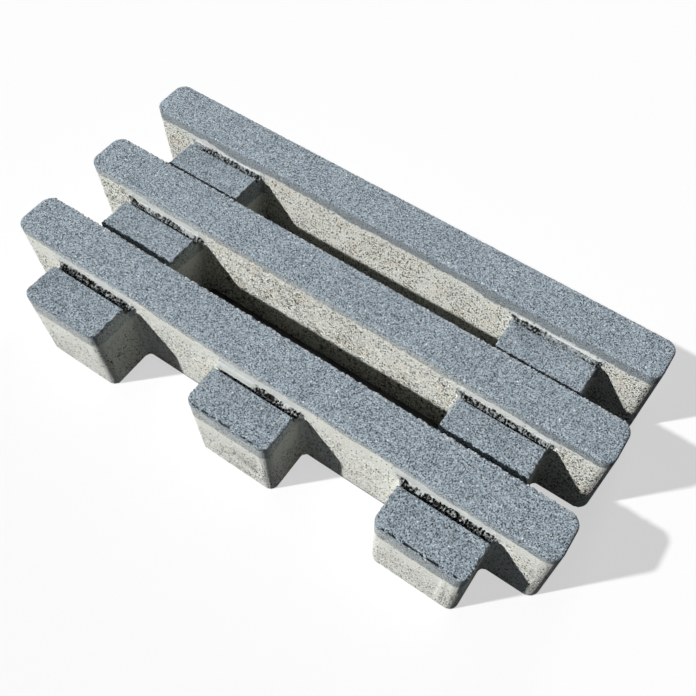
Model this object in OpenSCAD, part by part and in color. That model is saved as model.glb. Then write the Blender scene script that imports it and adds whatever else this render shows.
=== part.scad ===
// Lamella grass paver: parallel concrete rails joined by low bridge blocks, pressed in one piece.
// X runs along the rails, Y across them with the spacer nubs at the front (-Y), Z up.
// The origin lies on the bed face, at the middle of the paver's outer box. All sizes in millimetres.

/* [Rails] */
// Number of parallel rails
rail_count = 3; // [2:1:5]
// Length of each rail
rail_length = 600; // [560:5:800]
// Width of each rail
rail_width = 46; // [34:1:80]
// Height of the rails, and of the whole paver
rail_height = 110; // [104:1:140]
// Free gap between neighbouring rails, filled with soil and grass
gap_width = 54; // [30:1:90]
// Radius of the rails' upright corners
corner_radius = 11.5; // [9:0.5:16]
// Radius of the rails' softened top edges
rail_arris = 3; // [1:0.5:4]

/* [Bridges and nubs] */
// Length of each bridge and nub, measured along the rails
block_length = 90; // [60:1:110]
// Height of the bridges and nubs above the bed
block_height = 93; // [60:1:96]
// Length of rail that runs on beyond the outer bridges, at each end
end_overhang = 55; // [30:1:70]
// How far the spacer nubs stand out in front of the first rail
nub_depth = 50; // [26:1:80]
// Radius of the nubs' upright front corners
nub_corner_radius = 9; // [5:0.5:12]
// Radius of the hollow corners where bridges and nubs run into the rails
root_radius = 6; // [4:0.5:12]
// How far the hollow corners stop below the tops of bridges and nubs
root_drop = 6; // [3:0.5:15]
// Radius of the top edges of bridges and nubs
block_arris = 1.5; // [0.5:0.5:2]

/* [Hidden] */
$fn = 64;

concrete_colour = [0.62, 0.65, 0.67];

// How far a cut runs past the solid that it cuts
cut_margin = 1;

// How far a hollow corner's solid reaches into the block and the rail that it joins
root_bite = 2;

// Rail centre lines and faces, from the front rail backwards
rail_pitch = rail_width + gap_width;
paver_depth = nub_depth + (rail_count - 1) * rail_pitch + rail_width;
front_face = -paver_depth / 2;
function rail_centre(i) = front_face + nub_depth + rail_width / 2 + i * rail_pitch;
last_rail = rail_count - 1;

// Distance of the outer blocks' middles from the middle of the rails
outer_block = rail_length / 2 - end_overhang - block_length / 2;

// A flat profile that stands on its base line, with its two top corners rounded
module round_topped(width, height, radius) {
    translate([-width / 2, 0]) square([width, height - radius]);
    translate([radius - width / 2, 0]) square([width - 2 * radius, height]);
    for (side = [-1, 1])
        translate([side * (width / 2 - radius), height - radius]) circle(r = radius);
}

// Extrude a profile along X, or along Y from one place to another
module along_x(length) {
    rotate([90, 0, 90]) linear_extrude(height = length, center = true) children();
}

module along_y(from, to) {
    translate([0, to, 0]) rotate([90, 0, 0]) linear_extrude(height = to - from) children();
}

// A quarter of an upright round post with a rounded top edge, which makes one corner; it lies at +X, +Y
module corner_quarter(radius, height, edge) {
    rotate_extrude(angle = 90) {
        square([radius, height - edge]);
        square([radius - edge, height]);
        translate([radius - edge, height - edge]) circle(r = edge);
    }
}

// One rail, centred on its own centre line
module rail() {
    straight_x = rail_length - 2 * corner_radius;
    straight_y = rail_width - 2 * corner_radius;
    along_x(straight_x) round_topped(rail_width, rail_height, rail_arris);
    along_y(-straight_y / 2, straight_y / 2) round_topped(rail_length, rail_height, rail_arris);
    for (flip_x = [0, 1], flip_y = [0, 1])
        mirror([flip_x, 0, 0]) mirror([0, flip_y, 0])
            translate([straight_x / 2, straight_y / 2, 0])
                corner_quarter(corner_radius, rail_height, rail_arris);
}

// A low bar that makes a nub at the front and runs back to the centre line of rail number back_rail
module block_bar(back_rail) {
    corner_y = front_face + nub_corner_radius;
    face_length = block_length - 2 * nub_corner_radius;
    along_y(corner_y, rail_centre(back_rail)) round_topped(block_length, block_height, block_arris);
    translate([0, (front_face + rail_centre(0)) / 2, 0])
        along_x(face_length) round_topped(rail_centre(0) - front_face, block_height, block_arris);
    for (flip_x = [0, 1])
        mirror([flip_x, 0, 0])
            translate([face_length / 2, corner_y, 0])
                mirror([0, 1, 0]) corner_quarter(nub_corner_radius, block_height, block_arris);
}

// The hollow corner between a block's side and a rail's face; it stops short of the block's pressed top
module root_fillet() {
    side = root_radius + root_bite;
    top = block_height - root_drop;
    difference() {
        translate([-root_bite, -root_bite, 0]) cube([side, side, top]);
        translate([root_radius, root_radius, -cut_margin])
            cylinder(r = root_radius, h = top + 2 * cut_margin);
    }
}

// Hollow corners on both sides of a block, along one face of a rail; facing is the way the face looks
module root_pair(face_y, facing) {
    for (side = [-1, 1])
        translate([side * block_length / 2, face_y, 0])
            mirror([side < 0 ? 1 : 0, 0, 0])
                mirror([0, facing < 0 ? 1 : 0, 0])
                    root_fillet();
}

// A whole block with the hollow corners at every rail face that it meets
module block(back_rail) {
    block_bar(back_rail);
    for (i = [0 : back_rail])
        root_pair(rail_centre(i) - rail_width / 2, -1);
    if (back_rail > 0)
        for (i = [0 : back_rail - 1])
            root_pair(rail_centre(i) + rail_width / 2, 1);
}

module grass_paver() {
    color(concrete_colour) union() {
        for (i = [0 : last_rail])
            translate([0, rail_centre(i), 0]) rail();
        for (side = [-1, 1])
            translate([side * outer_block, 0, 0]) block(last_rail);
        block(0);
    }
}

grass_paver();
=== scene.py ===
import math

import bpy
import numpy as np
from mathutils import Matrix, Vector, noise


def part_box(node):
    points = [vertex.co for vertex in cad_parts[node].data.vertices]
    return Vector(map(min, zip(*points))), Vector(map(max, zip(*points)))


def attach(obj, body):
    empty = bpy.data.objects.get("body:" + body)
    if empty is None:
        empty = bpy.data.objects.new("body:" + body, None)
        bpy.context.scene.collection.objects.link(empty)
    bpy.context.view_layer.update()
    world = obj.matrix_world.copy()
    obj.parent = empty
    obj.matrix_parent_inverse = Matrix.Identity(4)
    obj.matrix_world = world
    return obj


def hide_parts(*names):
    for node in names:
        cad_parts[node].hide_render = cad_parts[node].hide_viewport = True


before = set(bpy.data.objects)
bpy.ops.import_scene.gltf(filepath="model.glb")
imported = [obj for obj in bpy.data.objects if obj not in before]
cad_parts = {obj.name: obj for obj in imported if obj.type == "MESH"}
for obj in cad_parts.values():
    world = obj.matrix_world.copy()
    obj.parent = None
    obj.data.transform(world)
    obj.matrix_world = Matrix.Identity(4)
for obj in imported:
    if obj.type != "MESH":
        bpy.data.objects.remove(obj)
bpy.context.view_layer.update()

# A concrete grass paver: three rails, four low bridges and three spacer nubs, pressed in one piece.
# A thin grey face mix lies on a beige core mix. X runs along the rails, -Y is the nubs' side, Z is up.

# Sizes of the paver, in metres
MM = 0.001
paver_low, paver_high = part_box("grass_paver")
RAIL_COUNT = 3
RAIL_WIDTH = 46 * MM
RAIL_PITCH = 100 * MM
RAIL_TOP = paver_high.z
BLOCK_TOP = 93 * MM
BLOCK_HALF = 45 * MM
END_OVERHANG = 55 * MM
RIGHT_BLOCK = paver_high.x - END_OVERHANG - BLOCK_HALF
LEFT_BLOCK = -RIGHT_BLOCK
MIDDLE_NUB = 0.0
NUB_FRONT = paver_low.y

# How thick the face mix is on the rails and on the blocks
RAIL_FACE_MIX = 10 * MM
BLOCK_FACE_MIX = 21 * MM

# Torn strips where the blocks' tops meet the rails' faces; one depth for each rail, from the front
TEAR_WIDTH = 9 * MM
TEAR_DEPTHS = (6.5 * MM, 5 * MM, 3.5 * MM)
TEAR_SPILL = 8 * MM
TEAR_FOOT = 7 * MM
TRENCH_WIDTH = 4 * MM
TRENCH_DEPTH = 3.5 * MM
CUT_MARGIN = 5 * MM
FACE_CLEARANCE = 0.02 * MM
CRUMB_SIZE = 1.8 * MM
CRUMB_RELIEF = 5 * MM

# Chipped top edges, crumbly nub edges, mould ribs and blow holes
ARRIS_BAND = 3.5 * MM
RAIL_CHIP_SHARES = (1.0, 1.0, 0.3)
BLOCK_CHIP_SHARE = 0.6
CHIP_SIZE = 2.2 * MM
CHIP_RELIEF = 1.9 * MM
NUB_LIP_SHARES = ((LEFT_BLOCK, 0.35), (MIDDLE_NUB, 0.8), (RIGHT_BLOCK, 1.0))
LIP_DASH_SIZE = 4 * MM
LIP_DASH_DEPTH = 1.7 * MM
RIB_FROM_MIDDLE = 28 * MM
RIB_HALF_WIDTH = 2.5 * MM
RIB_RELIEF = 0.7 * MM
RIB_ROOT = 3 * MM
RIB_BOTTOM = 3 * MM
RIB_TOP = 70 * MM
HOLE_SPACING = 11 * MM
HOLE_DEPTH = 2.5 * MM

# Fineness of the mesh
MERGE_DISTANCE = 0.01 * MM
SKIN_GRAIN = 1.2 * MM
TRIANGLE_LIMIT = 190_000
SMOOTH_ANGLE = 30

# Colours of the face mix
FACE_DARK = (0.195, 0.235, 0.268, 1)
FACE_LIGHT = (0.275, 0.322, 0.358, 1)
SMEAR_PALE = (0.45, 0.475, 0.465, 1)
SMEAR_DARK = (0.25, 0.28, 0.295, 1)
PALE_GRIT = (0.46, 0.49, 0.51, 1)
PALE_BIT = (0.70, 0.72, 0.72, 1)
PORE_DARK = (0.03, 0.036, 0.044, 1)

# Colours of the core mix
CORE_CREAM = (0.80, 0.81, 0.745, 1)
CORE_STAIN = (0.78, 0.72, 0.62, 1)
SLURRY_PALE = (0.63, 0.655, 0.65, 1)
TAN_GRIT = (0.46, 0.39, 0.30, 1)
PIT_DARK = (0.05, 0.045, 0.04, 1)

# Colours of broken places
LEDGE_GREY = (0.42, 0.44, 0.43, 1)
# The dark grey of broken crumbs, partly their own colour and partly painted shade of the torn grooves
BROKEN_DARK_AND_SHADE = (0.10, 0.105, 0.105, 1)
BROKEN_PALE = (0.34, 0.35, 0.345, 1)
CRUMB_PALE = (0.54, 0.55, 0.55, 1)
# Painted shade: black in the hollows where the surface went in
HOLLOW_PAINTED_SHADE = (0.012, 0.012, 0.013, 1)

# Grains, pores and pits: bump size of the noises, spacing of the scattered ones
GRIT_SIZE = 1.2 * MM
PALE_GRIT_SPACING = 2.5 * MM
PORE_SPACING = 2.1 * MM
PALE_BIT_SPACING = 8 * MM
SAND_SIZE = 1.5 * MM
TAN_GRIT_SPACING = 4.2 * MM
FINE_PIT_SPACING = 2.6 * MM
WIDE_PIT_SIZE = 3.4 * MM
GRAIN_EDGE_SHARPNESS = 12.0

# Sizes of the softer patches
TONE_PATCH = 28 * MM
SMEAR_PATCH = 70 * MM
STAIN_PATCH = 20 * MM
COARSE_PATCH = 45 * MM
SLURRY_PATCH = 14 * MM
CRUMB_PATCH = 6 * MM

# The line where the face mix ends: sizes and reaches of its waves and frays, and its drop toward the back
LAYER_WAVE = 90 * MM
LAYER_WAVE_REACH = 20 * MM
LAYER_FRAY = 5 * MM
LAYER_FRAY_REACH = 9 * MM
LAYER_DROP = 5 * MM

# How strongly the finishes show, and how strong the painted shade is
RIGHT_SMEAR_SHARE = 0.7
SIDE_COARSENESS = 0.25
TAN_GRIT_SHARE = 0.7
# Painted shade: shares by which the core mix is darkened on faces turned back and sideways
BACK_PAINTED_SHADE = 0.4
SIDE_PAINTED_SHADE = 0.2
# Share of the torn strips' darker broken grey, which is partly painted shade of the grooves
TORN_DARK_AND_SHADE_SHARE = 0.9
SAND_RELIEF = 1.6

# How the concrete shines, and how far its painted grains stand out
CONCRETE_ROUGHNESS = 0.92
CONCRETE_SPECULAR = 0.25
BUMP_STRENGTH = 0.8
BUMP_HEIGHT = 1.2 * MM

# The camera's place, turn and lens
CAMERA_PLACE = (0.27042, -0.33835, 0.74832)
CAMERA_TURN = (32.1005, -2.2623, 33.3812)
CAMERA_LENS = 42.4226
CAMERA_SHIFT = (-0.06269, -0.02741)
CAMERA_NEAR = 0.01
SENSOR_WIDTH = 36.0

# The ways of the key light and of the low light from behind, and the levels of the lights
KEY_WAY = (0.520, 0.513, -0.683)
KEY_STRENGTH = 5.2
KEY_ANGLE = 2.0
BACK_WAY = (0.12, -0.985, -0.12)
BACK_STRENGTH = 2.0
BACK_ANGLE = 10.0
FILL_COLOUR = (0.72, 0.86, 1.0, 1.0)
FILL_STRENGTH = 0.05
WHITE = (1.0, 1.0, 1.0, 1.0)

# The floor: its paleness to the viewer, around the paver and in its slots, and what it throws back
FLOOR_SIZE = 12.0
FLOOR_SHOWN = 0.76
FLOOR_GLOW_SHARE = 0.58
# Painted shade: the floor's paleness to the viewer inside the paver's slots
SLOT_FLOOR_SHADE_SHOWN = 0.12
FLOOR_BOUNCE = (0.03, 0.036, 0.046, 1.0)

# Socket numbers of the Mix node, when it mixes colours and when it mixes plain values
MIX_COLOUR_A = 6
MIX_COLOUR_B = 7
MIX_COLOUR_RESULT = 2
MIX_VALUE_A = 2
MIX_VALUE_B = 3


def rail_back(i):
    """The back face of rail i, counted from the front."""
    return paver_high.y - (RAIL_COUNT - 1 - i) * RAIL_PITCH


def rail_front(i):
    """The front face of rail i."""
    return rail_back(i) - RAIL_WIDTH


# Each place where a block's top runs against a rail's face:
# the block's middle, the face, the way the face looks and how deep the top tore there
SEAMS = [(block, rail_front(0), -1, TEAR_DEPTHS[0]) for block in (LEFT_BLOCK, MIDDLE_NUB, RIGHT_BLOCK)]
for gap in range(RAIL_COUNT - 1):
    for block in (LEFT_BLOCK, RIGHT_BLOCK):
        SEAMS.append((block, rail_back(gap), 1, TEAR_DEPTHS[gap]))
        SEAMS.append((block, rail_front(gap + 1), -1, TEAR_DEPTHS[gap + 1]))


# Mesh tools

def select_only(piece):
    """Makes one object the only selected and the active one."""
    bpy.ops.object.select_all(action="DESELECT")
    piece.select_set(True)
    bpy.context.view_layer.objects.active = piece


def apply_modifier(piece, kind, **settings):
    """Puts a modifier on a piece and applies it."""
    made = piece.modifiers.new(kind.lower(), kind)
    for name, value in settings.items():
        setattr(made, name, value)
    select_only(piece)
    bpy.ops.object.modifier_apply(modifier=made.name)


def displace(piece, texture, group, strength, mid_level=0.0):
    """Moves a vertex group along its normals, by a texture laid through the piece."""
    apply_modifier(piece, "DISPLACE", texture=texture, texture_coords="LOCAL", vertex_group=group,
                   strength=strength, mid_level=mid_level)


def rows_of(piece, what):
    """The places (co) or normals (normal) of a mesh's vertices, one row each."""
    flat = np.empty(len(piece.data.vertices) * 3, np.float32)
    piece.data.vertices.foreach_get(what, flat)
    return flat.reshape(-1, 3).astype(float)


def weigh(piece, name, weights, levels=20):
    """Makes a vertex group from one weight for each vertex."""
    group = piece.vertex_groups.new(name=name)
    steps = np.round(np.clip(weights, 0, 1) * levels).astype(int)
    for level in range(1, levels + 1):
        picked = np.flatnonzero(steps == level)
        if len(picked):
            group.add(picked.tolist(), level / levels, "REPLACE")
    return group.name


def note(piece, name, values):
    """Keeps one number for each vertex as an attribute that the material reads."""
    made = piece.data.attributes.new(name, "FLOAT", "POINT")
    made.data.foreach_set("value", values.astype(np.float32))


def rise(low, high, value):
    """0 below low, 1 above high, smooth between."""
    t = np.clip((value - low) / (high - low), 0, 1)
    return t * t * (3 - 2 * t)


def fall(low, high, value):
    """1 below low, 0 above high, smooth between."""
    return 1 - rise(low, high, value)


def wander(places, size, seed):
    """Smooth noise between about -1 and 1 at each place, with bumps of about that size."""
    shift = Vector((seed * 7.3, seed * 3.1, seed * 5.7))
    return np.array([noise.noise(Vector(p) / size + shift) for p in places])


def set_ramp(texture, first, first_grey, last, last_grey):
    """Gives a texture a ramp from one grey to another, between two levels of its own value."""
    texture.use_color_ramp = True
    ends = texture.color_ramp.elements
    ends[0].position = first
    ends[0].color = (first_grey, first_grey, first_grey, 1)
    ends[1].position = last
    ends[1].color = (last_grey, last_grey, last_grey, 1)


def cloud_texture(name, size, depth, dark, light):
    """A noise for displacing: black below dark, white above light."""
    made = bpy.data.textures.new(name, "CLOUDS")
    made.noise_scale = size
    made.noise_depth = depth
    set_ramp(made, dark, 0, light, 1)
    return made


def hole_texture():
    """Scattered round holes for displacing: white in the holes, black between them."""
    made = bpy.data.textures.new("blow_holes", "VORONOI")
    made.noise_scale = HOLE_SPACING
    set_ramp(made, 0.05, 1, 0.13, 0)
    return made


def box_between(low, high):
    """A plain box between two corners."""
    middle = [(a + b) / 2 for a, b in zip(low, high)]
    size = [b - a for a, b in zip(low, high)]
    bpy.ops.object.select_all(action="DESELECT")
    bpy.ops.mesh.primitive_cube_add(size=1, location=middle, scale=size)
    made = bpy.context.object
    bpy.ops.object.transform_apply(location=True, rotation=True, scale=True)
    return made


def join_into(main, others):
    """Joins other objects into one."""
    select_only(main)
    for other in others:
        other.select_set(True)
    bpy.ops.object.join()


# The paver's mesh

def paver_blank():
    """A copy of the CAD solid, its loose triangles merged."""
    blank = bpy.data.objects.new("pressed_paver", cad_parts["grass_paver"].data.copy())
    bpy.context.scene.collection.objects.link(blank)
    select_only(blank)
    bpy.ops.object.mode_set(mode="EDIT")
    bpy.ops.mesh.select_all(action="SELECT")
    bpy.ops.mesh.remove_doubles(threshold=MERGE_DISTANCE)
    bpy.ops.object.mode_set(mode="OBJECT")
    blank.data.materials.clear()
    return blank


def seam_cutter(block, half_length, side_a, side_b, bottom):
    """A box that cuts a strip beside a rail's face, open at the top."""
    return box_between((block - half_length, min(side_a, side_b), bottom),
                       (block + half_length, max(side_a, side_b), BLOCK_TOP + CUT_MARGIN))


def tear_blocks(paver):
    """Cuts the torn strips where the tamper left the blocks' tops short of the rails' faces.

    A narrow trench follows the pressed edge, but not where the top tore least.
    """
    strips = []
    trenches = []
    for block, face, way, deep in SEAMS:
        near = face + way * FACE_CLEARANCE
        far = face + way * TEAR_WIDTH
        middle = far - way * TRENCH_WIDTH
        floor = BLOCK_TOP - deep
        strips.append(seam_cutter(block, BLOCK_HALF + TEAR_SPILL, near, far, floor))
        if deep > TEAR_DEPTHS[-1]:
            trenches.append(seam_cutter(block, BLOCK_HALF, middle, far, floor - TRENCH_DEPTH))
    for cuts in (strips, trenches):
        join_into(cuts[0], cuts[1:])
        apply_modifier(paver, "BOOLEAN", operation="DIFFERENCE", object=cuts[0])
        bpy.data.objects.remove(cuts[0])


def add_mould_ribs(paver):
    """The faint upright ribs that the mould's joints leave on the fronts of the outer nubs."""
    for place in (LEFT_BLOCK - RIB_FROM_MIDDLE, RIGHT_BLOCK + RIB_FROM_MIDDLE):
        rib = box_between((place - RIB_HALF_WIDTH, NUB_FRONT - RIB_RELIEF, RIB_BOTTOM),
                          (place + RIB_HALF_WIDTH, NUB_FRONT + RIB_ROOT, RIB_TOP))
        join_into(paver, [rib])


def seam_weights(places):
    """How strongly each vertex lies in a torn strip: its floor, and the ragged foot of the rail's face.

    The left half of the middle nub tore only along its pressed edge.
    """
    weights = np.zeros(len(places))
    for block, face, way, deep in SEAMS:
        out = (places[:, 1] - face) * way
        along = np.abs(places[:, 0] - block)
        below = BLOCK_TOP - places[:, 2]
        beside_face = (out > -1.5 * MM) & (out < TEAR_WIDTH + MM)
        by_block = along < BLOCK_HALF + TEAR_SPILL + MM
        near = np.flatnonzero(beside_face & by_block & (below > 0.5 * MM) & (below < deep + TEAR_FOOT))
        out, along, below, spots = out[near], along[near], below[near], places[near]
        inward = fall(TEAR_WIDTH - 0.9 * MM, TEAR_WIDTH + 0.2 * MM, out)
        if block == MIDDLE_NUB:
            inner = fall(TEAR_WIDTH - 4.5 * MM, TEAR_WIDTH - 3.5 * MM, out)
            inward = inward * (1 - inner * rise(-2 * MM, 8 * MM, -spots[:, 0]))
        ends = fall(BLOCK_HALF + 3 * MM, BLOCK_HALF + TEAR_SPILL, along)
        ragged = deep * (0.6 + 0.35 * wander(spots, 25 * MM, 1) + 0.3 * wander(spots, 3 * MM, 2))
        under = rise(0.0, 2 * MM, below - ragged) * fall(deep + 2 * MM, deep + TEAR_FOOT, below)
        patches = 0.75 + 0.5 * wander(spots, 12 * MM, 4)
        depth_share = patches * (0.3 + 0.65 * deep / TEAR_DEPTHS[0])
        weights[near] = np.maximum(weights[near], inward * ends * under * depth_share)
    return weights


def arris_weights(places):
    """How strongly each vertex lies on a ragged top edge: rails' backs, and fainter the blocks' sides."""
    weights = np.zeros(len(places))
    for i, share in enumerate(RAIL_CHIP_SHARES):
        off = np.hypot(places[:, 1] - rail_back(i), places[:, 2] - RAIL_TOP)
        weights = np.maximum(weights, share * fall(0.3 * ARRIS_BAND, ARRIS_BAND, off))
    for block in (LEFT_BLOCK, MIDDLE_NUB, RIGHT_BLOCK):
        off = np.hypot(np.abs(places[:, 0] - block) - BLOCK_HALF, places[:, 2] - BLOCK_TOP)
        weights = np.maximum(weights, BLOCK_CHIP_SHARE * fall(0.3 * ARRIS_BAND, ARRIS_BAND, off))
    return weights


def lip_weights(places):
    """How strongly each vertex lies on the crumbly line just behind a nub's front top edge."""
    weights = np.zeros(len(places))
    near = np.flatnonzero((places[:, 1] < NUB_FRONT + 6 * MM) & (places[:, 2] > BLOCK_TOP - 3 * MM))
    spots = places[near]
    behind = (1.8 + 1.2 * wander(spots, 14 * MM, 3)) * MM
    off = np.hypot(spots[:, 1] - NUB_FRONT - behind, spots[:, 2] - BLOCK_TOP)
    line = fall(0.7 * MM, 1.9 * MM, off)
    for block, share in NUB_LIP_SHARES:
        ends = fall(BLOCK_HALF - 9 * MM, BLOCK_HALF - 5 * MM, np.abs(spots[:, 0] - block))
        weights[near] = np.maximum(weights[near], line * ends * share)
    return weights


def hole_weights(places):
    """How strongly each vertex lies in the coarse core mix, where air left holes, more of them low down."""
    rail_side = np.zeros(len(places), bool)
    for i in range(RAIL_COUNT):
        rail_side |= (places[:, 1] > rail_front(i) - MM) & (places[:, 1] < rail_back(i) + MM)
    core_top = np.where(rail_side, RAIL_TOP - RAIL_FACE_MIX, BLOCK_TOP - BLOCK_FACE_MIX)
    return rise(5 * MM, 30 * MM, core_top - places[:, 2]) * (places[:, 2] > 1.5 * MM)


def hole_mask(places, weights, texture):
    """Which vertices lie in a blow hole."""
    mask = np.zeros(len(places))
    for i in np.flatnonzero(weights > 0.1):
        mask[i] = texture.evaluate(Vector(places[i]))[3]
    return mask


def refine(paver, holes):
    """Divides the mesh once more in the torn strips, at the chipped edges and in the blow holes."""
    places = rows_of(paver, "co")
    in_holes = hole_mask(places, hole_weights(places), holes)
    broken = [seam_weights(places), arris_weights(places), lip_weights(places), in_holes]
    picked = np.maximum.reduce(broken) > 0.02
    select_only(paver)
    paver.data.vertices.foreach_set("select", np.zeros(len(places), bool))
    paver.data.edges.foreach_set("select", np.zeros(len(paver.data.edges), bool))
    corners = np.empty(len(paver.data.loops), np.int32)
    paver.data.loops.foreach_get("vertex_index", corners)
    starts = np.empty(len(paver.data.polygons), np.int32)
    paver.data.polygons.foreach_get("loop_start", starts)
    chosen = np.maximum.reduceat(picked[corners].astype(np.int8), starts) > 0
    paver.data.polygons.foreach_set("select", chosen)
    bpy.ops.object.mode_set(mode="EDIT")
    bpy.ops.mesh.select_mode(type="FACE")
    bpy.ops.mesh.subdivide(number_cuts=1)
    bpy.ops.object.mode_set(mode="OBJECT")


def roughen(paver, holes):
    """Crumbles the torn strips and top edges, sinks the holes, and keeps how far each vertex went in."""
    before = rows_of(paver, "co")
    normals = rows_of(paver, "normal")
    torn = seam_weights(before)
    fringe = arris_weights(before)
    seam = weigh(paver, "seam", torn)
    arris = weigh(paver, "arris", fringe)
    lip = weigh(paver, "lip", lip_weights(before))
    core = weigh(paver, "core", hole_weights(before))
    displace(paver, cloud_texture("seam_crumbs", CRUMB_SIZE, 1, 0.34, 0.60), seam, -CRUMB_RELIEF, 0.2)
    displace(paver, cloud_texture("arris_chips", CHIP_SIZE, 2, 0.3, 0.7), arris, CHIP_RELIEF, 0.3)
    displace(paver, cloud_texture("lip_dashes", LIP_DASH_SIZE, 2, 0.44, 0.56), lip, -LIP_DASH_DEPTH)
    displace(paver, holes, core, -HOLE_DEPTH)
    note(paver, "pit_depth", ((before - rows_of(paver, "co")) * normals).sum(1))
    note(paver, "torn", torn)
    note(paver, "fringe", fringe)


def thin_out(paver):
    """Brings the mesh under its limit of triangles, mostly on the flat faces."""
    triangles = sum(len(p.vertices) - 2 for p in paver.data.polygons)
    apply_modifier(paver, "DECIMATE", ratio=min(1.0, TRIANGLE_LIMIT / triangles))


def pressed_paver():
    """The whole paver with its torn strips, crumbled edges and blow holes."""
    paver = paver_blank()
    tear_blocks(paver)
    add_mould_ribs(paver)
    apply_modifier(paver, "REMESH", mode="VOXEL", voxel_size=SKIN_GRAIN)
    holes = hole_texture()
    refine(paver, holes)
    roughen(paver, holes)
    thin_out(paver)
    select_only(paver)
    bpy.ops.object.shade_smooth_by_angle(angle=math.radians(SMOOTH_ANGLE))
    paver.data.materials.append(concrete_material())
    return paver


# Shader tools

def put(tree, kind, inputs=None, **settings):
    """Adds a node; inputs maps a socket to a value or to another node's output."""
    made = tree.nodes.new(kind)
    for name, value in settings.items():
        setattr(made, name, value)
    for socket, value in (inputs or {}).items():
        if isinstance(value, bpy.types.NodeSocket):
            tree.links.new(value, made.inputs[socket])
        else:
            made.inputs[socket].default_value = value
    return made


def calc(tree, operation, a, b=0.0, clamp=False):
    """A Math node's output."""
    return put(tree, "ShaderNodeMath", {0: a, 1: b}, operation=operation, use_clamp=clamp).outputs[0]


def times(tree, a, b):
    """Two values multiplied."""
    return calc(tree, "MULTIPLY", a, b)


def without(tree, value):
    """What is left of 1 after a value."""
    return calc(tree, "SUBTRACT", 1.0, value)


def blend(tree, factor, a, b, how="MIX"):
    """A colour mix's output."""
    sockets = {0: factor, MIX_COLOUR_A: a, MIX_COLOUR_B: b}
    return put(tree, "ShaderNodeMix", sockets, data_type="RGBA", blend_type=how).outputs[MIX_COLOUR_RESULT]


def between(tree, factor, a, b):
    """A plain value between two others."""
    return put(tree, "ShaderNodeMix", {0: factor, MIX_VALUE_A: a, MIX_VALUE_B: b}).outputs[0]


def fade(tree, value, low, high, to_low=0.0, to_high=1.0):
    """A smooth step from low to high."""
    sockets = {0: value, 1: low, 2: high, 3: to_low, 4: to_high}
    return put(tree, "ShaderNodeMapRange", sockets, interpolation_type="SMOOTHSTEP").outputs[0]


def clouds(tree, where, size, detail=2.0, roughness=0.5):
    """A noise's value, with bumps of about that size in metres."""
    sockets = {"Vector": where, "Scale": 1 / size, "Detail": detail, "Roughness": roughness}
    return put(tree, "ShaderNodeTexNoise", sockets).outputs[0]


def sway(tree, where, size, reach, detail, roughness=0.5):
    """A noise that swings about nothing, by up to about half its reach to each side."""
    return times(tree, calc(tree, "SUBTRACT", clouds(tree, where, size, detail, roughness), 0.5), reach)


def kept_note(tree, name):
    """An attribute that the mesh keeps for each vertex."""
    return put(tree, "ShaderNodeAttribute", None, attribute_name=name).outputs["Fac"]


def new_group(name, inputs, outputs):
    """An empty shader node group with named sockets, and its two end nodes."""
    group = bpy.data.node_groups.new(name, "ShaderNodeTree")
    for socket, kind in inputs:
        group.interface.new_socket(socket, in_out="INPUT", socket_type=kind)
    for socket, kind in outputs:
        group.interface.new_socket(socket, in_out="OUTPUT", socket_type=kind)
    return group, group.nodes.new("NodeGroupInput"), group.nodes.new("NodeGroupOutput")


def grain_group():
    """Scattered round grains: a mask that is 1 inside the grains, for a share of the cells."""
    group, given, made = new_group(
        "grains",
        [("Place", "NodeSocketVector"), ("Per Metre", "NodeSocketFloat"),
         ("Share", "NodeSocketFloat"), ("Radius", "NodeSocketFloat")],
        [("Mask", "NodeSocketFloat")])
    lattice = {"Vector": given.outputs["Place"], "Scale": given.outputs["Per Metre"]}
    cells = put(group, "ShaderNodeTexVoronoi", lattice)
    chance = put(group, "ShaderNodeSeparateColor", {0: cells.outputs["Color"]}).outputs[0]
    picked = calc(group, "LESS_THAN", chance, given.outputs["Share"])
    inside = calc(group, "SUBTRACT", given.outputs["Radius"], cells.outputs["Distance"])
    soft = calc(group, "MULTIPLY", inside, GRAIN_EDGE_SHARPNESS, clamp=True)
    group.links.new(times(group, picked, soft), made.inputs["Mask"])
    return group


def grains(tree, group, where, size, share, radius):
    """Places the grain group; size is the grains' spacing in metres, and share may be a varying value."""
    sockets = {"Place": where, "Per Metre": 1 / size, "Share": share, "Radius": radius}
    return put(tree, "ShaderNodeGroup", sockets, node_tree=group).outputs["Mask"]


# The concrete's finish

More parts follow.
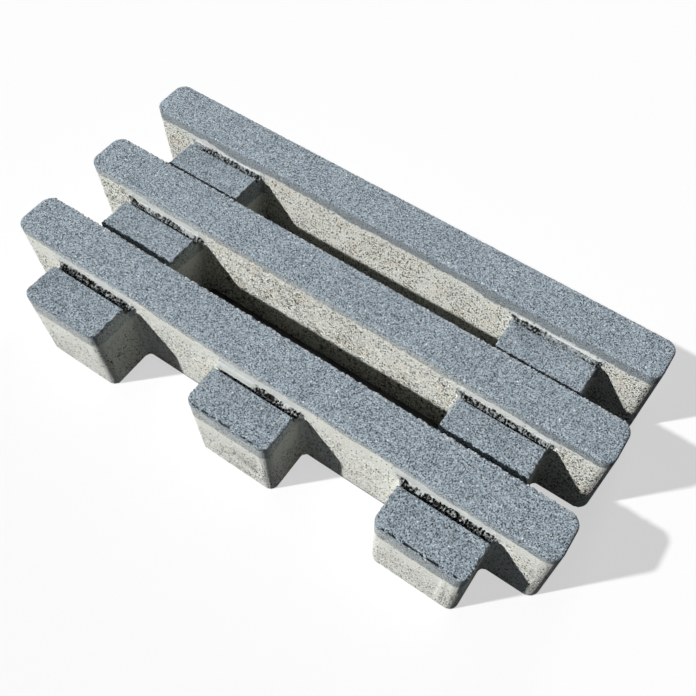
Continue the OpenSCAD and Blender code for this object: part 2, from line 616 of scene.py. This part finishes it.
def place_masks(tree, where):
    """Where a point lies on the paver, as named values from 0 to 1 or lengths in metres."""
    along, across, height = put(tree, "ShaderNodeSeparateXYZ", {0: where}).outputs
    first_centre = rail_front(0) + RAIL_WIDTH / 2
    pitches = calc(tree, "DIVIDE", calc(tree, "SUBTRACT", across, first_centre), RAIL_PITCH)
    turned = calc(tree, "FRACT", calc(tree, "ADD", pitches, 0.5))
    off_centre = calc(tree, "ABSOLUTE", calc(tree, "SUBTRACT", turned, 0.5))
    on_rail = calc(tree, "LESS_THAN", off_centre, (RAIL_WIDTH / 2 + 0.8 * MM) / RAIL_PITCH)
    own_top = calc(tree, "ADD", times(tree, on_rail, RAIL_TOP - BLOCK_TOP), BLOCK_TOP)
    layer = calc(tree, "ADD", times(tree, on_rail, RAIL_FACE_MIX - BLOCK_FACE_MIX), BLOCK_FACE_MIX)
    toward_back = fade(tree, across, rail_back(0), rail_front(2))
    behind_first = fade(tree, across, rail_front(0) + 10 * MM, rail_front(1))
    from_middle = calc(tree, "ABSOLUTE", along)
    from_outer = calc(tree, "ABSOLUTE", calc(tree, "SUBTRACT", from_middle, RIGHT_BLOCK))
    far_off = BLOCK_HALF + 18 * MM
    close_by = BLOCK_HALF - 4 * MM
    by_outer = fade(tree, from_outer, far_off, close_by)
    by_middle = calc(tree, "SUBTRACT", fade(tree, from_middle, far_off, close_by), behind_first)
    over_top = fade(tree, height, BLOCK_TOP - 12 * MM, BLOCK_TOP - 4 * MM)
    over_block = times(tree, calc(tree, "MAXIMUM", by_outer, by_middle), over_top)
    return {
        "depth": calc(tree, "SUBTRACT", own_top, height),
        "layer": calc(tree, "ADD", layer, times(tree, toward_back, LAYER_DROP)),
        "toward_back": toward_back,
        "behind_first": behind_first,
        "over_block": times(tree, over_block, on_rail),
        "toward_right": fade(tree, along, 100 * MM, 260 * MM),
    }


def core_coarseness(tree, where, masks, past, sideways):
    """How coarse the core mix is: more behind the first rail and low down, in patches.

    Faces that look along the rails are coarse to a set share, wherever they are.
    """
    front_coarse = fade(tree, past, 3 * MM, 40 * MM, 0.1, 0.6)
    back_coarse = fade(tree, past, 0.0, 12 * MM, 0.5, 0.9)
    rough_share = between(tree, sideways, masks["behind_first"], SIDE_COARSENESS)
    patches = fade(tree, clouds(tree, where, COARSE_PATCH), 0.3, 0.6, 0.55, 1.0)
    return times(tree, between(tree, rough_share, front_coarse, back_coarse), patches)


def face_mix(tree, where, group, masks, grit):
    """Blue-grey face mix, smeared pale at the front and darker at the back and right where it turns down.

    Gives its colour and the mask of its pores.
    """
    depth = masks["depth"]
    face = blend(tree, clouds(tree, where, TONE_PATCH, 3.0), FACE_DARK, FACE_LIGHT)
    smear = calc(tree, "ADD", masks["toward_back"], sway(tree, where, SMEAR_PATCH, 1.0, 3.0))
    smear = calc(tree, "ADD", smear, times(tree, masks["toward_right"], RIGHT_SMEAR_SHARE), clamp=True)
    film = fade(tree, depth, 1 * MM, 6 * MM)
    face = blend(tree, film, face, blend(tree, smear, SMEAR_PALE, SMEAR_DARK))
    on_top = fade(tree, depth, 2 * MM, 9 * MM, 1.0, 0.7)
    grit_shade = fade(tree, grit, 0.30, 0.70, 0.2, 1.8)
    face = blend(tree, on_top, face, blend(tree, 1.0, face, grit_shade, "MULTIPLY"))
    pale_grit = grains(tree, group, where, PALE_GRIT_SPACING, 0.4, 0.33)
    face = blend(tree, times(tree, pale_grit, on_top), face, PALE_GRIT)
    pores = times(tree, grains(tree, group, where, PORE_SPACING, 0.45, 0.35), on_top)
    face = blend(tree, pores, face, PORE_DARK)
    pale_bits = grains(tree, group, where, PALE_BIT_SPACING, 0.4, 0.14)
    return blend(tree, pale_bits, face, PALE_BIT), pores


def core_mix(tree, where, group, coarse, slurry, sand):
    """Cream core mix with tan stains, sand grains and dark pits.

    Gives its colour and the mask of its pits.
    """
    stain = fade(tree, clouds(tree, where, STAIN_PATCH, 3.0), 0.45, 0.75)
    core = blend(tree, times(tree, stain, coarse), CORE_CREAM, CORE_STAIN)
    core = blend(tree, slurry, core, SLURRY_PALE)
    sand_shade = fade(tree, sand, 0.32, 0.62, 0.25, 1.25)
    core = blend(tree, coarse, core, blend(tree, 1.0, core, sand_shade, "MULTIPLY"))
    tan_grit = times(tree, grains(tree, group, where, TAN_GRIT_SPACING, 0.5, 0.33), coarse)
    core = blend(tree, times(tree, tan_grit, TAN_GRIT_SHARE), core, TAN_GRIT)
    fine_pits = grains(tree, group, where, FINE_PIT_SPACING, times(tree, coarse, 0.6), 0.37)
    pit_noise = clouds(tree, where, WIDE_PIT_SIZE, 3.0, 0.6)
    wide_pits = fade(tree, calc(tree, "SUBTRACT", pit_noise, times(tree, coarse, 0.16)), 0.27, 0.23)
    pits = calc(tree, "MAXIMUM", fine_pits, wide_pits)
    return blend(tree, pits, core, PIT_DARK), pits


def broken_places(tree, where, colour, grit, ledge):
    """Darkens the torn strips, partly with painted shade of their grooves, paints black shade into the holes
    and other hollows, greys the ledges and pales the crumbly edges.
    """
    colour = blend(tree, ledge, colour, LEDGE_GREY)
    # The torn strips take a darker broken grey, partly their own crumbly colour and partly painted shade of
    # the grooves
    broken = blend(tree, fade(tree, grit, 0.40, 0.60), BROKEN_DARK_AND_SHADE, BROKEN_PALE)
    colour = blend(tree, times(tree, kept_note(tree, "torn"), TORN_DARK_AND_SHADE_SHARE), colour, broken)
    crumbly = fade(tree, clouds(tree, where, CRUMB_PATCH, 3.0), 0.42, 0.60, 0.0, 0.6)
    colour = blend(tree, times(tree, kept_note(tree, "fringe"), crumbly), colour, CRUMB_PALE)
    # Painted shade: black where the surface went in, in torn strips, dashes and holes
    hollow_painted_shade = fade(tree, kept_note(tree, "pit_depth"), 0.3 * MM, 1.6 * MM)
    return blend(tree, hollow_painted_shade, colour, HOLLOW_PAINTED_SHADE)


def concrete_material():
    """Grey face mix over beige core mix, speckled and pitted."""
    material = bpy.data.materials.new("pressed_concrete")
    material.use_nodes = True
    tree = material.node_tree
    tree.nodes.clear()
    coordinates = put(tree, "ShaderNodeTexCoord")
    where = coordinates.outputs["Object"]
    facing = put(tree, "ShaderNodeSeparateXYZ", {0: coordinates.outputs["Normal"]})
    facing_x, facing_y, facing_z = facing.outputs
    sideways = fade(tree, calc(tree, "ABSOLUTE", facing_x), 0.6, 0.9)
    upright = fade(tree, facing_z, 0.3, 0.7, 1.0, 0.0)
    group = grain_group()
    grit = clouds(tree, where, GRIT_SIZE, 2.0, 0.7)
    sand = clouds(tree, where, SAND_SIZE, 2.0, 0.65)

    # Where the face mix ends: a wavy, ragged line some way below the pressed top
    masks = place_masks(tree, where)
    below_layer = calc(tree, "SUBTRACT", masks["depth"], masks["layer"])
    wavy = calc(tree, "ADD", below_layer, sway(tree, where, LAYER_WAVE, LAYER_WAVE_REACH, 3.0))
    past = calc(tree, "ADD", wavy, sway(tree, where, LAYER_FRAY, LAYER_FRAY_REACH, 4.0, 0.65))
    core_share = fade(tree, past, -1.5 * MM, 2 * MM)

    # Smooth pale slurry lies on the rails' faces just over the blocks, and nothing is coarse there
    patchy = fade(tree, clouds(tree, where, SLURRY_PATCH, 3.0), 0.30, 0.55, 0.35, 0.9)
    slurry = times(tree, times(tree, masks["over_block"], patchy), upright)
    coarse = core_coarseness(tree, where, masks, past, sideways)
    coarse = times(tree, coarse, without(tree, slurry))

    # The two mixes, with painted shade darkening the core mix on the sides and backs, and then what broke
    face, pores = face_mix(tree, where, group, masks, grit)
    core, pits = core_mix(tree, where, group, coarse, slurry, sand)
    # Painted shade: the core mix is darker on faces turned back or sideways
    back_painted_shade = fade(tree, facing_y, 0.5, 0.8, 0.0, BACK_PAINTED_SHADE)
    side_and_back_painted_shade = calc(tree, "MAXIMUM", back_painted_shade, times(tree, sideways, SIDE_PAINTED_SHADE))
    core = blend(tree, 1.0, core, without(tree, side_and_back_painted_shade), "MULTIPLY")
    ledge = times(tree, fade(tree, masks["depth"], 3 * MM, 6 * MM), without(tree, upright))
    colour = broken_places(tree, where, blend(tree, core_share, face, core), grit, ledge)

    # Relief: grit stands out, pores and pits go in
    face_relief = calc(tree, "SUBTRACT", grit, pores)
    core_relief = calc(tree, "SUBTRACT", times(tree, sand, SAND_RELIEF), pits)
    relief = between(tree, core_share, face_relief, core_relief)
    bump = put(tree, "ShaderNodeBump", {"Height": relief, "Strength": BUMP_STRENGTH, "Distance": BUMP_HEIGHT})
    shader = put(tree, "ShaderNodeBsdfPrincipled", {
        "Base Color": colour,
        "Normal": bump.outputs[0],
        "Roughness": CONCRETE_ROUGHNESS,
        "Specular IOR Level": CONCRETE_SPECULAR,
    })
    put(tree, "ShaderNodeOutputMaterial", {"Surface": shader.outputs[0]})
    return material


# Stage: floor, light and camera

def shown_to_viewer(tree):
    """1 for rays that carry the background to the viewer: camera, glossy and transmission rays."""
    path = put(tree, "ShaderNodeLightPath")
    mirrored = calc(tree, "MAXIMUM", path.outputs["Is Glossy Ray"], path.outputs["Is Transmission Ray"])
    return calc(tree, "MAXIMUM", path.outputs["Is Camera Ray"], mirrored)


def around_paver(tree):
    """1 on the floor around the paver, and 0 inside the frame of outer rails and bridges."""
    place = put(tree, "ShaderNodeTexCoord").outputs["Object"]
    along, across = put(tree, "ShaderNodeSeparateXYZ", {0: place}).outputs[:2]
    beside = calc(tree, "GREATER_THAN", calc(tree, "ABSOLUTE", along), RIGHT_BLOCK)
    in_front = calc(tree, "LESS_THAN", across, rail_front(0))
    behind = calc(tree, "GREATER_THAN", across, rail_back(RAIL_COUNT - 1))
    return calc(tree, "MAXIMUM", calc(tree, "MAXIMUM", beside, in_front), behind)


def lay_floor():
    """A plain floor: near white with a pale shadow to the viewer, dark to the light that it throws back.

    In the paver's slots, which the key light does not reach, it is dark to the viewer too: painted shade.
    """
    bpy.ops.object.select_all(action="DESELECT")
    bpy.ops.mesh.primitive_plane_add(size=FLOOR_SIZE, location=(0, 0, paver_low.z))
    floor = bpy.context.object
    floor.name = "floor"
    material = bpy.data.materials.new("white_floor")
    material.use_nodes = True
    tree = material.node_tree
    tree.nodes.clear()
    shown = shown_to_viewer(tree)
    around = around_paver(tree)
    pale = FLOOR_SHOWN * (1.0 - FLOOR_GLOW_SHARE)
    # Painted shade in the slots, pale floor around the paver
    paleness = between(tree, around, SLOT_FLOOR_SHADE_SHOWN, pale)
    glow_strength = times(tree, shown, times(tree, around, FLOOR_GLOW_SHARE))
    surface = put(tree, "ShaderNodeBsdfDiffuse", {"Color": blend(tree, shown, FLOOR_BOUNCE, paleness)})
    glow = put(tree, "ShaderNodeEmission", {"Strength": glow_strength})
    both = put(tree, "ShaderNodeAddShader", {0: surface.outputs[0], 1: glow.outputs[0]})
    put(tree, "ShaderNodeOutputMaterial", {"Surface": both.outputs[0]})
    floor.data.materials.append(material)


def add_sun(name, way, strength, angle):
    """A light from far away, travelling one way, soft-edged by its angle in degrees."""
    lamp = bpy.data.lights.new(name, "SUN")
    lamp.energy = strength
    lamp.angle = math.radians(angle)
    made = bpy.data.objects.new(name, lamp)
    made.rotation_mode = "QUATERNION"
    made.rotation_quaternion = Vector(way).to_track_quat("-Z", "Y")
    bpy.context.scene.collection.objects.link(made)


def light_studio():
    """A key light from the front left, a low light from behind, and an even fill from all round."""
    add_sun("key", KEY_WAY, KEY_STRENGTH, KEY_ANGLE)
    add_sun("back", BACK_WAY, BACK_STRENGTH, BACK_ANGLE)
    world = bpy.data.worlds.new("studio")
    bpy.context.scene.world = world
    world.use_nodes = True
    tree = world.node_tree
    tree.nodes.clear()
    fill = put(tree, "ShaderNodeBackground", {"Color": FILL_COLOUR, "Strength": FILL_STRENGTH}).outputs[0]
    shown = put(tree, "ShaderNodeBackground", {"Color": WHITE, "Strength": 1.0}).outputs[0]
    both = put(tree, "ShaderNodeMixShader", {0: shown_to_viewer(tree), 1: fill, 2: shown})
    put(tree, "ShaderNodeOutputWorld", {"Surface": both.outputs[0]})


def set_camera():
    """The camera at the photograph's viewing angle."""
    lens = bpy.data.cameras.new("camera")
    lens.lens = CAMERA_LENS
    lens.sensor_width = SENSOR_WIDTH
    lens.shift_x, lens.shift_y = CAMERA_SHIFT
    lens.clip_start = CAMERA_NEAR
    camera = bpy.data.objects.new("camera", lens)
    camera.location = CAMERA_PLACE
    camera.rotation_euler = [math.radians(turn) for turn in CAMERA_TURN]
    bpy.context.scene.collection.objects.link(camera)
    bpy.context.scene.camera = camera


bpy.context.scene.view_settings.view_transform = "Standard"
set_camera()
light_studio()
lay_floor()
paver = pressed_paver()
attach(paver, "root")
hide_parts("grass_paver")
